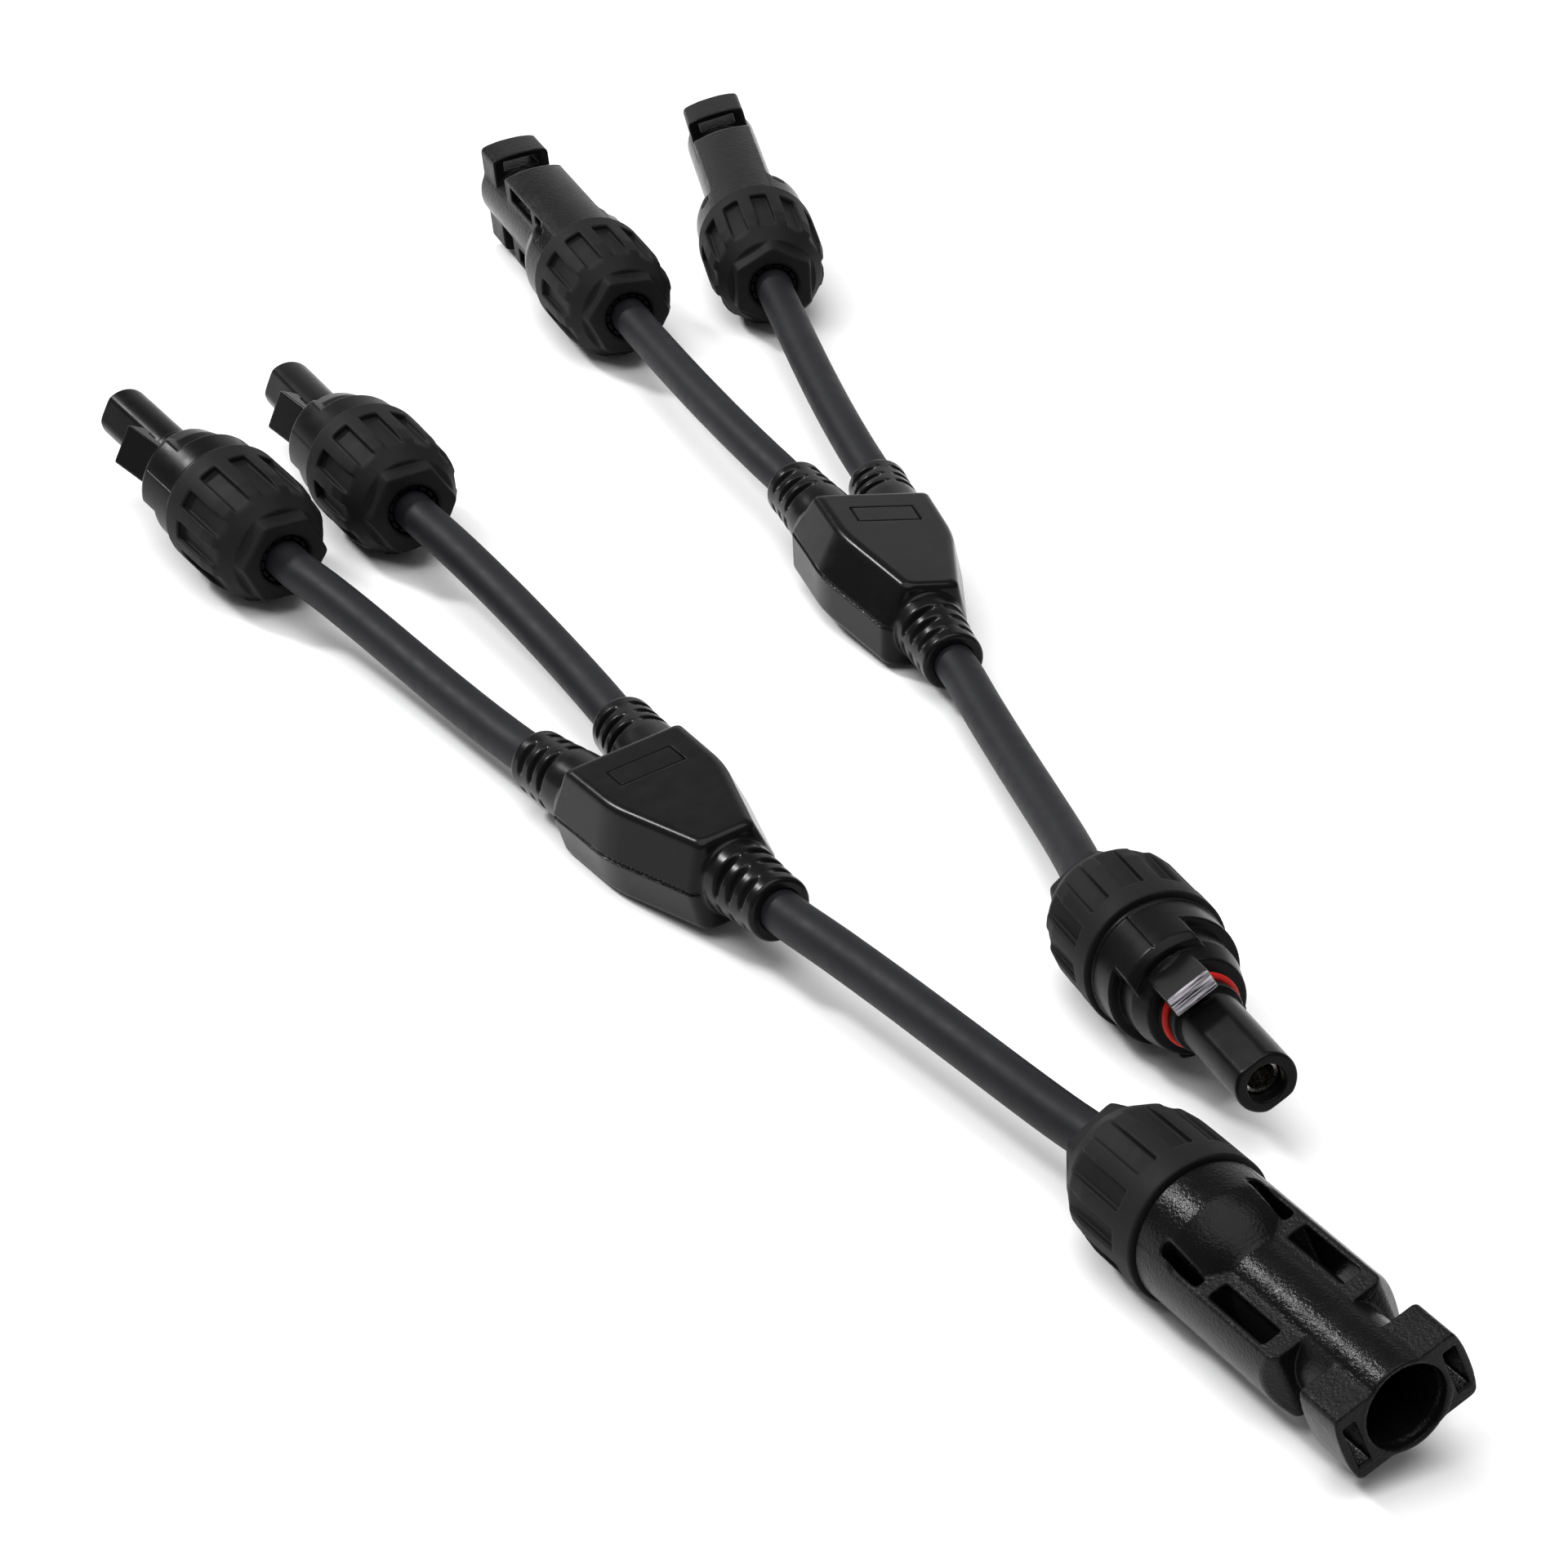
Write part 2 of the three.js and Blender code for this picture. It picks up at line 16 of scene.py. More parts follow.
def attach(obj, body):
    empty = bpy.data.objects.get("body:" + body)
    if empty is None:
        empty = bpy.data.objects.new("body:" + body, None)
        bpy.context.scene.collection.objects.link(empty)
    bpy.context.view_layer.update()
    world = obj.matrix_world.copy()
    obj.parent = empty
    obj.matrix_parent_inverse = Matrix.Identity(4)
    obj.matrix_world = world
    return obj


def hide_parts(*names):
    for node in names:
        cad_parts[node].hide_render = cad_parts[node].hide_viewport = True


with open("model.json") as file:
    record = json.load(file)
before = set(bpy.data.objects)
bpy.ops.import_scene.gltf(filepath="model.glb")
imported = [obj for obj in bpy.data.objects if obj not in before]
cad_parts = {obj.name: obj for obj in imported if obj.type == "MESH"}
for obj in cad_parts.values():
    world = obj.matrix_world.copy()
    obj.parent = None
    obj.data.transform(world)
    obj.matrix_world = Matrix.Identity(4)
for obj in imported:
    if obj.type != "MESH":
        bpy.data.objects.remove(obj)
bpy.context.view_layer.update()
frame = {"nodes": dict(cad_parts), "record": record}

MM = 0.001
PLAN_CENTRE = (-14.36, 24.3)

# Camera, fitted to the photograph
CAMERA_TARGET = (14.36, -24.3, 0.0)
CAMERA_DISTANCE = 653.26
CAMERA_PITCH = 28.684
CAMERA_ROLL = 0.335
CAMERA_LENS = 111.29

# Gap between two pieces that meet
SEAM = 0.15

# A wall that leans has a SLOPE and a LEAN. The LEAN is about the cosine of the wall's angle, and turns a
# distance along an axis into a distance from the wall.

# Cap nut; lengths run along the axis of a connector from the rear face of its nut
NUT_L = 19.0
NUT_PROFILE = ((-1.0, 6.6), (0.0, 6.8), (2.3, 7.2), (5.6, 9.15), (8.5, 9.55), (12.0, 9.6), (20.0, 9.6))
NUT_HEX_APOTHEM = 5.95
NUT_HEX_SLOPE = 0.2
NUT_HEX_LEAN = 0.98
NUT_HEX_L = 2.2
NUT_RECESSES = 12
NUT_RECESS_HALF_W = 1.35
NUT_RECESS_FLOOR = 8.6
NUT_RECESS_L = (3.2, 15.2)
NUT_BORE = ((-2, 4.2), (0.0, 4.2), (0.35, 3.9), (2.6, 3.9), (7.6, 7.9), (25, 7.9))

# Clamping basket
BASKET_PROFILE = ((0, 3.75), (7.7, 3.75), (9.2, 6.9), (12, 6.9))
BASKET_L = (0.5, 10.4)
BASKET_BORE_R = 3.12
BASKET_SLOTS = 14
BASKET_SLOT_HALF_W = 0.17
BASKET_SLOT_L1 = 5.2

# Hollow stub of both housings, inside the nut
STUB_R = 7.6
STUB_L = (11.6, 19.6)
STUB_POCKET_R = 5.3
STUB_POCKET_L1 = 17.3

# Socket housing
SHELL_R = 9.0
SHELL_HALF_T = 4.9
SHELL_L0 = 19.3
RIM_L1 = 21.6
WING_L1 = 45.9
WING_TIP_HALF_W = 7.7
WING_TIP_L = 45.2
WING_TIP_SLOPE = 0.9
WING_TIP_LEAN = 0.75
DOME_PROFILE = ((18, 9.0), (25.2, 9.0), (27.6, 8.3), (29.6, 7.3), (31.2, 6.2), (32.3, 5.4), (36, 5.0))
DOME_L1 = 35.0
WINDOWS = (
    dict(along=(23.5, 30.2), across=(5.55, 6.95), end_edge=0.7, side_edge=0.6, corner=0.7),
    dict(along=(32.4, 43.0), across=(4.3, 6.8), end_edge=0.6, side_edge=0.4, corner=0.5),
)
TUBE_R = 5.85
TUBE_L = (24.0, 58.1)
COLLAR_L0 = 51.3
COLLAR_HALF_W = 8.75
COLLAR_INSET = 0.05
COLLAR_CORNER_X = 2.3
COLLAR_CORNER_R = 6.45
COLLAR_CORNER_SQUASH = 0.62
SLOT_ACROSS = (5.95, 7.65)
SLOT_HALF_H = 3.1
SOCKET_BORE = ((37, 4.9), (56.8, 4.9), (57.3, 5.15), (60, 5.25))
SOCKET_BORE_L0 = 38.0

# Plug housing
PLUG_R = 8.75
PLUG_L0 = 19.0
PLUG_PROFILE = ((17, PLUG_R), (28.0, PLUG_R), (31.0, 6.5), (34, 4.8))
PAD_HALF_W = 5.0
PAD_L1 = 29.0
PAD_SEAM_R = 0.12
PAD_SEAM_L = 24.0
PAD_SEAM_HALF_L = 4.4
BAND_L1 = 24.4
INNER_PROFILE = ((18, 7.5), (28.0, 7.3), (31.4, 6.4), (34, 6.0))
INNER_L1 = 31.2
FLANGE_R = 8.95
FLANGE_T = 0.85
CORE_R = 5.0
CORE_L = (24.0, 31.5)
GROOVE_R = 4.2
GROOVE_L = (31.0, 33.0)
NECK_R = 4.6
NECK_L = (32.7, 34.6)
BARREL_R = 4.0
BARREL_L = (33.0, 50.9)
BARREL_FLAT = 3.5
BARREL_FLAT_L0 = 36.3
BARREL_BORE = ((36, 2.45), (50.7, 2.45), (51.5, 2.9), (53, 2.9))
BARREL_BORE_L0 = 36.0
RING_L = 32.1
RING_R = 5.15
RING_HALF_T = 0.5

# Latch arm
ARM_L0 = 29.15
ARM_L1 = 37.0
ARM_HALF_W = 3.05
ARM_TOP = 6.55
ARM_SLOPE = 0.197
ARM_LEAN = 0.98
ARM_UNDER = 5.5
HOOK_UNDER = 5.0
HOOK_L0 = 35.0

# Moulded block of a junction: each wall by a point, its outward normal, its draft and its corner rounding
MOULD_HALF_T = 6.37
MOULD_DRAFT = 0.33
MOULD_WALLS = (
    dict(at=(0.0, -8.8), normal=(0.0, -1.0), draft=0.28, corner=0.9),
    dict(at=(10.9, -8.8), normal=(1.0, 0.022), draft=MOULD_DRAFT, corner=0.9),
    dict(at=(10.6, 5.8), normal=(0.9645, 0.264), draft=MOULD_DRAFT, corner=0.7),
    dict(at=(5.95, 21.9), normal=(0.55, 0.835), draft=0.2, corner=0.7),
    dict(at=(0.0, 22.6), normal=(0.0, 1.0), draft=0.11, corner=0.7),
)
MOULD_LOWER_DRAFT = 0.4
MOULD_LEAN = 0.95
MOULD_TOP_EDGE = 1.1
MOULD_BOTTOM_EDGE = 1.0
PARTING_Z = -0.5
PARTING_HALF_W = 0.19
PARTING_DEPTH = 0.28
MARK_HALF_L = 4.7
MARK_HALF_W = 2.15
MARK_LINE = 0.13
MARK_DEPTH = 0.2

# Ribbed boots of a junction
TRUNK_BASE = (0.0, 20.5)
TRUNK_LEAD = (-0.45, 36.4)
BRANCH_BASE = (4.9, -7.5)
BRANCH_LEAD_Y = -24.6
CABLE_LEAD = 3.2
BOOT_ROOT_R = 5.25
BOOT_MIDDLE_R = 5.0
BOOT_TIP_R = 4.5
BOOT_MIDDLE = 0.3
BOOT_TIP_L = 3.0
BOOT_GROOVES = 3
BOOT_GROOVE_END = 2.5
BOOT_GROOVE_PITCH = 2.65
BOOT_GROOVE_HALF_W = 0.62
BOOT_GROOVE_FLARE = 0.3
BOOT_GROOVE_TOP = 4.6
BOOT_GROOVE_FLOOR = 3.75
BOOT_BORE_L0 = 2.0
BOOT_BORE_GAP = 0.03

# Cable: where it ends inside the nut, how far it leaves the nut straight, and its points on the way
CABLE_R = 2.93
CABLE_INNER_L = 10.6
CABLE_NUT_L = 5.0
CABLE_STRAIGHT = 2.5
CABLE_SHARES = (0.14, 0.3, 0.5, 0.7, 0.88)
CABLE_IN_BOOT = (1.5, 8.0, 14.0)
CABLE_POINTS = 40

CONNECTORS = {
    "a_plug_1": dict(rear=(-71.26, 49.31, 8.88), heading=123.68, tilt=4.48, turn=-66.2, nut=61.1),
    "a_plug_2": dict(rear=(-53.98, 64.23, 9.72), heading=116.41, tilt=-0.48, turn=-67.8, nut=55.0),
    "a_socket": dict(rear=(37.63, -104.88, 9.45), heading=-60.55, tilt=1.03, turn=23.4, nut=32.0),
    "b_socket_1": dict(rear=(-24.87, 136.73, 9.5), heading=111.37, tilt=0.68, turn=82.9, nut=62.0),
    "b_socket_2": dict(rear=(-2.03, 149.79, 9.2), heading=99.25, tilt=2.57, turn=74.6, nut=87.3),
    "b_plug": dict(rear=(39.3, -45.4, 9.2), heading=-70.04, tilt=2.59, turn=32.0, nut=40.0),
}
JUNCTIONS = {
    "a": dict(at=(-16.92, -20.98, 8.0), heading=-60.6, tilt=1.91, roll=9.19, left=7.03, right=6.54),
    "b": dict(at=(13.68, 55.38, 7.75), heading=-73.46, tilt=-2.44, roll=-5.62, left=6.56, right=7.14),
}
RUNS = (
    dict(name="a_cable_1", start="a_plug_1", end="a", boot="right", turn=6.7, fan=4.1, pull=(0.9, 1.08)),
    dict(name="a_cable_2", start="a_plug_2", end="a", boot="left", turn=3.2, fan=-6.9, pull=(0.89, 0.94)),
    dict(name="a_trunk", start="a_socket", end="a", boot="trunk", turn=7.6, fan=5.2, pull=(0.67, 1.22)),
    dict(name="b_cable_1", start="b_socket_1", end="b", boot="right", turn=-0.5, fan=11.5, pull=(0.97, 0.97)),
    dict(name="b_cable_2", start="b_socket_2", end="b", boot="left", turn=2.8, fan=-0.4, pull=(1.01, 1.07)),
    dict(name="b_trunk", start="b_plug", end="b", boot="trunk", turn=-15.0, fan=-2.3, pull=(0.5, 1.35)),
)


# Distance functions

def smax(a, b, k=0.35):
    """Intersection of two solids, its edge rounded over about k."""
    h = np.maximum(k - np.abs(a - b), 0.0)
    return np.maximum(a, b) + h * h / (4 * k)


def smin(a, b, k=0.35):
    return -smax(-a, -b, k)


def cut(a, b, k=0.35):
    return smax(a, -b, k)


def slab(v, lo, hi):
    return np.maximum(lo - v, v - hi)


def soft_slab(v, lo, hi, k=0.3):
    return smax(lo - v, v - hi, k)


def turned(r, z, profile):
    """Outside of a shape of revolution whose radius is given along z."""
    zs, rs = zip(*profile)
    slope = np.interp(z, zs[:-1], np.abs(np.diff(rs) / np.diff(zs)))
    return (r - np.interp(z, zs, rs)) / np.sqrt(1 + slope * slope)


def smooth_profile(profile, step=0.25, width=1.0):
    """The same profile with its corners eased over about width."""
    zs, rs = (np.array(v) for v in zip(*profile))
    z = np.arange(zs[0], zs[-1] + step / 2, step)
    offsets = np.linspace(-width, width, 9)
    weights = np.cos(offsets / width * math.pi / 2) ** 2
    r = sum(w * np.interp(z + o, zs, rs) for o, w in zip(offsets, weights)) / weights.sum()
    return list(zip(z, r))


def repeat_angle(x, y, count, start=0.0):
    """Radial and sideways coordinates in the nearest of count equal sectors."""
    r = np.hypot(x, y)
    sector = 2 * math.pi / count
    angle = np.arctan2(y, x) - start
    angle = angle - sector * np.round(angle / sector)
    return r * np.cos(angle), r * np.sin(angle)


NUT_SMOOTH = smooth_profile(NUT_PROFILE, width=0.6)
DOME_SMOOTH = smooth_profile(DOME_PROFILE, width=0.9)
PLUG_SMOOTH = smooth_profile(PLUG_PROFILE, width=0.6)


def cap_nut(x, y, z):
    r = np.hypot(x, y)
    outward, _ = repeat_angle(x, y, 6, math.pi / 6)
    flats = smin((outward - NUT_HEX_APOTHEM - NUT_HEX_SLOPE * z) * NUT_HEX_LEAN, NUT_HEX_L - z)
    body = smax(turned(r, z, NUT_SMOOTH), flats)
    body = smax(body, soft_slab(z, 0.0, NUT_L - SEAM))
    outward, across = repeat_angle(x, y, NUT_RECESSES)
    recess = smax(np.abs(across) - NUT_RECESS_HALF_W, NUT_RECESS_FLOOR - outward)
    recess = smax(recess, slab(z, *NUT_RECESS_L), 0.3)
    return cut(cut(body, recess), turned(r, z, NUT_BORE), 0.25)


def clamp_basket(x, y, z):
    r = np.hypot(x, y)
    body = smax(turned(r, z, BASKET_PROFILE), slab(z, *BASKET_L), 0.3)
    body = cut(body, r - BASKET_BORE_R, 0.2)
    _, across = repeat_angle(x, y, BASKET_SLOTS)
    return cut(body, np.maximum(np.abs(across) - BASKET_SLOT_HALF_W, z - BASKET_SLOT_L1), 0.12)


def with_stub(body, r, z):
    """A housing together with the stub that its nut screws onto."""
    body = np.minimum(body, smax(r - STUB_R, slab(z, *STUB_L), 0.4))
    return cut(body, np.maximum(r - STUB_POCKET_R, z - STUB_POCKET_L1), 0.2)


def window(ax, z, along, across, end_edge, side_edge, corner):
    return smax(soft_slab(z, *along, end_edge), soft_slab(ax, *across, side_edge), corner)


def socket_shell(x, y, z):
    """Rim, windowed flat-sided wings and the dome between them."""
    r, ax = np.hypot(x, y), np.abs(x)
    rim = smax(r - SHELL_R, soft_slab(z, NUT_L + SEAM, RIM_L1), 0.3)
    wing = smax(smax(r - SHELL_R, np.abs(y) - SHELL_HALF_T), slab(z, SHELL_L0, WING_L1), 0.5)
    tip = ax - WING_TIP_HALF_W + (z - WING_TIP_L) * WING_TIP_SLOPE
    wing = smax(wing, tip * WING_TIP_LEAN, 0.4)
    dome = smax(turned(r, z, DOME_SMOOTH), slab(z, SHELL_L0, DOME_L1), 0.3)
    shell = np.maximum(smin(wing, dome, 0.3), r - SHELL_R)
    small, large = (window(ax, z, **shape) for shape in WINDOWS)
    return np.minimum(cut(shell, np.minimum(small, large), 0.3), rim)


def socket_collar(x, y, z):
    """Front collar of the tube, with a slot through it on each side."""
    ax, ay = np.abs(x), np.abs(y)
    corner = np.hypot(ax - COLLAR_CORNER_X, COLLAR_CORNER_SQUASH * y) - COLLAR_CORNER_R
    collar = smax(ay - SHELL_HALF_T + COLLAR_INSET, corner, 0.7)
    collar = smax(smax(collar, ax - COLLAR_HALF_W, 0.4), soft_slab(z, COLLAR_L0, TUBE_L[1]), 0.3)
    slot = smax(soft_slab(ax, *SLOT_ACROSS, 0.2), ay - SLOT_HALF_H, 0.2)
    return cut(collar, np.maximum(slot, slab(z, COLLAR_L0 - 1, TUBE_L[1] + 1)), 0.2)


def socket_housing(x, y, z):
    r = np.hypot(x, y)
    tube = smax(r - TUBE_R, slab(z, *TUBE_L), 0.25)
    body = smin(smin(socket_shell(x, y, z), tube, 0.25), socket_collar(x, y, z), 0.25)
    body = cut(body, np.maximum(turned(r, z, SOCKET_BORE), SOCKET_BORE_L0 - z), 0.25)
    return with_stub(body, r, z)


def plug_body(x, y, z):
    """The two pads, the round band behind them and the body inside."""
    r = np.hypot(x, y)
    pads = smax(turned(r, z, PLUG_SMOOTH), np.abs(x) - PAD_HALF_W, 0.3)
    pads = smax(pads, soft_slab(z, PLUG_L0, PAD_L1), 0.25)
    band = smax(r - PLUG_R, slab(z, PLUG_L0, BAND_L1))
    inner = smax(turned(r, z, INNER_PROFILE), slab(z, PLUG_L0, INNER_L1))
    pad_seam = np.hypot(x, np.abs(y) - PLUG_R) - PAD_SEAM_R
    pad_seam = np.maximum(pad_seam, np.abs(z - PAD_SEAM_L) - PAD_SEAM_HALF_L)
    return cut(np.minimum(np.minimum(pads, band), inner), pad_seam, 0.05)


def plug_barrel(x, y, z):
    """Flat-sided barrel with the groove of the O-ring at its root."""
    r = np.hypot(x, y)
    groove = smax(r - GROOVE_R, slab(z, *GROOVE_L), 0.1)
    neck = smax(r - NECK_R, soft_slab(z, *NECK_L, 0.4), 0.4)
    barrel = smax(r - BARREL_R, soft_slab(z, *BARREL_L), 0.5)
    barrel = cut(barrel, np.maximum(BARREL_FLAT - np.abs(y), BARREL_FLAT_L0 - z), 0.2)
    return smin(np.minimum(groove, neck), barrel, 0.3)


def plug_housing(x, y, z):
    r = np.hypot(x, y)
    flange = smax(r - FLANGE_R, soft_slab(z, NUT_L + SEAM, NUT_L + FLANGE_T, 0.2), 0.2)
    core = smax(r - CORE_R, soft_slab(z, *CORE_L, 0.2), 0.2)
    body = smin(smin(plug_body(x, y, z), flange, 0.2), core, 0.2)
    body = with_stub(np.minimum(body, plug_barrel(x, y, z)), r, z)
    return cut(body, np.maximum(turned(r, z, BARREL_BORE), BARREL_BORE_L0 - z), 0.2)


def latch_arm(x, y, z):
    """The arm on the +Y side."""
    top = (y - ARM_TOP - (z - ARM_L0) * ARM_SLOPE) * ARM_LEAN
    under = np.where(z < HOOK_L0, ARM_UNDER, HOOK_UNDER) - y
    body = smax(soft_slab(z, ARM_L0, ARM_L1, 0.2), smax(top, under, 0.25), 0.2)
    return smax(body, np.abs(x) - ARM_HALF_W, 0.25)


def o_ring(x, y, z):
    return np.hypot(np.hypot(x, y) - RING_R + RING_HALF_T, z - RING_L) - RING_HALF_T


def boot_axis(x, y, base, lead):
    """Sideways and lengthways coordinates of a boot in the plane of the junction, and its length."""
    dx, dy = lead[0] - base[0], lead[1] - base[1]
    length = math.hypot(dx, dy)
    dx, dy = dx / length, dy / length
    along = (x - base[0]) * dx + (y - base[1]) * dy
    return (x - base[0]) * dy - (y - base[1]) * dx, along, length - CABLE_LEAD


def ribbed_boot(x, y, z, base, lead):
    """A boot, and the bore for its cable."""
    side, along, length = boot_axis(x, y, base, lead)
    r = np.hypot(side, z)
    profile = ((-4, BOOT_ROOT_R), (length * BOOT_MIDDLE, BOOT_MIDDLE_R), (length - BOOT_TIP_L, BOOT_TIP_R),
               (length + 2, BOOT_TIP_R - 0.1))
    line = smooth_profile(profile, width=0.8)
    body = smax(turned(r, along, line), soft_slab(along, -1.5, length, 0.4), 0.7)
    outward, _ = repeat_angle(side, z, 4, math.pi / 4)
    for i in range(BOOT_GROOVES):
        from_middle = np.abs(along - length + BOOT_GROOVE_END + BOOT_GROOVE_PITCH * i)
        groove = from_middle - BOOT_GROOVE_HALF_W + (BOOT_GROOVE_TOP - outward) * BOOT_GROOVE_FLARE
        body = cut(body, smax(groove, BOOT_GROOVE_FLOOR - outward, 0.45), 0.28)
    return body, np.maximum(r - CABLE_R - BOOT_BORE_GAP, BOOT_BORE_L0 - along)


def mould_block(x, y, z):
    """Walls that are widest at the parting line, between a rounded top and bottom edge."""
    rise = np.abs(z - PARTING_Z) * np.where(z > PARTING_Z, 1.0, MOULD_LOWER_DRAFT)
    block = None
    for wall in MOULD_WALLS:
        (at_x, at_y), (normal_x, normal_y) = wall["at"], wall["normal"]
        side = (np.abs(x) - at_x) * normal_x + (y - at_y) * normal_y + wall["draft"] * rise
        block = side if block is None else smax(block, side, wall["corner"])
    block = smax(block * MOULD_LEAN, z - MOULD_HALF_T, MOULD_TOP_EDGE)
    return smax(block, -MOULD_HALF_T - z, MOULD_BOTTOM_EDGE)


def moulding(x, y, z, left, right):
    block = mould_block(x, y, z)
    parting_line = np.maximum(np.abs(z - PARTING_Z) - PARTING_HALF_W, -block - PARTING_DEPTH)
    body = cut(block, parting_line, 0.1)
    mark = np.abs(np.maximum(np.abs(x) - MARK_HALF_L, np.abs(y) - MARK_HALF_W)) - MARK_LINE
    body = cut(body, np.maximum(mark, MOULD_HALF_T - MARK_DEPTH - z), 0.08)
    shapes = (
        ((-BRANCH_BASE[0], BRANCH_BASE[1]), (-left, BRANCH_LEAD_Y)),
        (BRANCH_BASE, (right, BRANCH_LEAD_Y)),
        (TRUNK_BASE, TRUNK_LEAD),
    )
    boots = [ribbed_boot(x, y, z, base, lead) for base, lead in shapes]
    for shape, _ in boots:
        body = smin(body, shape, 0.6)
    for _, bore in boots:
        body = cut(body, bore, 0.15)
    return body


# Meshes

CORNERS = [(i, j, k) for i in (0, 1) for j in (0, 1) for k in (0, 1)]
LAYERS = 16


def sample(solid, axes):
    """Distances on a grid, a few layers at a time to save memory."""
    grid = np.empty([len(a) for a in axes], dtype=np.float32)
    for i in range(0, len(axes[0]), LAYERS):
        gx, gy, gz = np.meshgrid(axes[0][i:i + LAYERS], axes[1], axes[2], indexing="ij")
        grid[i:i + LAYERS] = solid(gx, gy, gz)
    return grid


def cell_points(grid, cells):
    """For each cell, the mean of the points where its edges cross the surface, in grid steps."""
    value = {corner: grid[tuple((cells + corner).T)] for corner in CORNERS}
    total = np.zeros((len(cells), 3))
    hits = np.zeros(len(cells))
    for corner in CORNERS:
        for axis in range(3):
            if corner[axis]:
                continue
            end = tuple(v + (n == axis) for n, v in enumerate(corner))
            a, b = value[corner], value[end]
            crossing = (a < 0) != (b < 0)
            point = np.tile(np.array(corner, float), (len(cells), 1))
            point[:, axis] += np.where(crossing, a / np.where(crossing, a - b, 1), 0)
            total += np.where(crossing[:, None], point, 0)
            hits += crossing
    return cells + total / hits[:, None]


def cell_quads(inside, number):
    """For each grid edge that crosses the surface, a quad between the four cells around it."""
    quads = []
    for axis in range(3):
        first = inside[tuple(slice(1 if n != axis else 0, -1) for n in range(3))]
        second = inside[tuple(slice(1, -1) if n != axis else slice(1, None) for n in range(3))]
        edges = np.argwhere(first != second) + [0 if n == axis else 1 for n in range(3)]
        u, v = (axis + 1) % 3, (axis + 2) % 3
        ring = []
        for du, dv in ((-1, -1), (0, -1), (0, 0), (-1, 0)):
            at = edges.copy()
            at[:, u] += du
            at[:, v] += dv
            ring.append(number[tuple(at.T)])
        ring = np.stack(ring, 1)
        start_inside = inside[tuple(edges.T)]
        quads.append(np.where(start_inside[:, None], ring, ring[:, ::-1]))
    return np.concatenate(quads)


def surface(solid, low, high, step):
    """Surface-net mesh of a distance function in millimetres, with its own gradient as normals."""
    axes = [np.arange(a - step * 1.5, b + step * 2, step) for a, b in zip(low, high)]
    grid = sample(solid, axes)
    inside = grid < 0
    nx, ny, nz = (n - 1 for n in grid.shape)
    count = sum(inside[i:i + nx, j:j + ny, k:k + nz].astype(np.int8) for i, j, k in CORNERS)
    cells = np.argwhere((count > 0) & (count < len(CORNERS)))
    number = np.full((nx, ny, nz), -1, dtype=np.int32)
    number[tuple(cells.T)] = np.arange(len(cells))
    points = cell_points(grid, cells) * step + [a[0] for a in axes]
    points, normals = settle(solid, points, step)
    return points, cell_quads(inside, number), normals


def settle(solid, points, step):
    """Moves points onto the zero surface and returns its unit normals there."""
    for _ in range(2):
        value, gradient = slope(solid, points, 0.25 * step)
        size = np.maximum((gradient ** 2).sum(1), 0.25)
        move = -value[:, None] * gradient / size[:, None]
        reach = np.maximum(np.linalg.norm(move, axis=1) / (0.45 * step), 1)
        points = points + move / reach[:, None]
    _, gradient = slope(solid, points, 0.3 * step)
    return points, gradient / np.maximum(np.linalg.norm(gradient, axis=1), 1e-9)[:, None]


def slope(solid, points, h):
    x, y, z = points.T
    gradient = np.stack([
        solid(x + h, y, z) - solid(x - h, y, z),
        solid(x, y + h, z) - solid(x, y - h, z),
        solid(x, y, z + h) - solid(x, y, z - h),
    ], 1) / (2 * h)
    return solid(x, y, z), gradient


def moulded_mesh(name, solid, low, high, step):
    points, quads, normals = surface(solid, low, high, step)
    mesh = bpy.data.meshes.new(name)
    mesh.from_pydata((points * MM).tolist(), [], quads.tolist())
    mesh.shade_smooth()
    mesh.normals_split_custom_set_from_vertices(normals.tolist())
    mesh.update()
    return mesh


# Placement, as in the CAD

def axis_frame(heading, tilt, roll):
    h, t, r = (math.radians(v) for v in (heading, tilt, roll))
    d = Vector((math.cos(h) * math.cos(t), math.sin(h) * math.cos(t), math.sin(t)))
    s = Vector((-math.sin(h), math.cos(h), 0))
    s = s * math.cos(r) + d.cross(s) * math.sin(r)
    return s, d.cross(s), d


def placed(x, y, z, at):
    shift = Vector((at[0] - PLAN_CENTRE[0], at[1] - PLAN_CENTRE[1], at[2])) * MM
    m = Matrix((x, y, z)).transposed().to_4x4()
    m.translation = shift
    return m


def connector_matrix(place, turn):
    s, u, d = axis_frame(place["heading"], place["tilt"], turn)
    return placed(s, u, d, place["rear"])


def junction_matrix(place):
    s, u, d = axis_frame(place["heading"], place["tilt"], place["roll"])
    return placed(-s, d, u, place["at"])


def add_piece(name, mesh, matrix, material, body, slot, *nodes):
    """Places a mesh in the scene as the look of CAD nodes, on the body that it moves with."""
    piece = bpy.data.objects.new(name, mesh)
    bpy.context.scene.collection.objects.link(piece)
    piece.matrix_world = matrix
    if not mesh.materials:
        mesh.materials.append(material)
    bpy.context.view_layer.update()
    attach(piece, body)
    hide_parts(*nodes)


# Materials

GRAIN_OFF_FLATS = 0.45


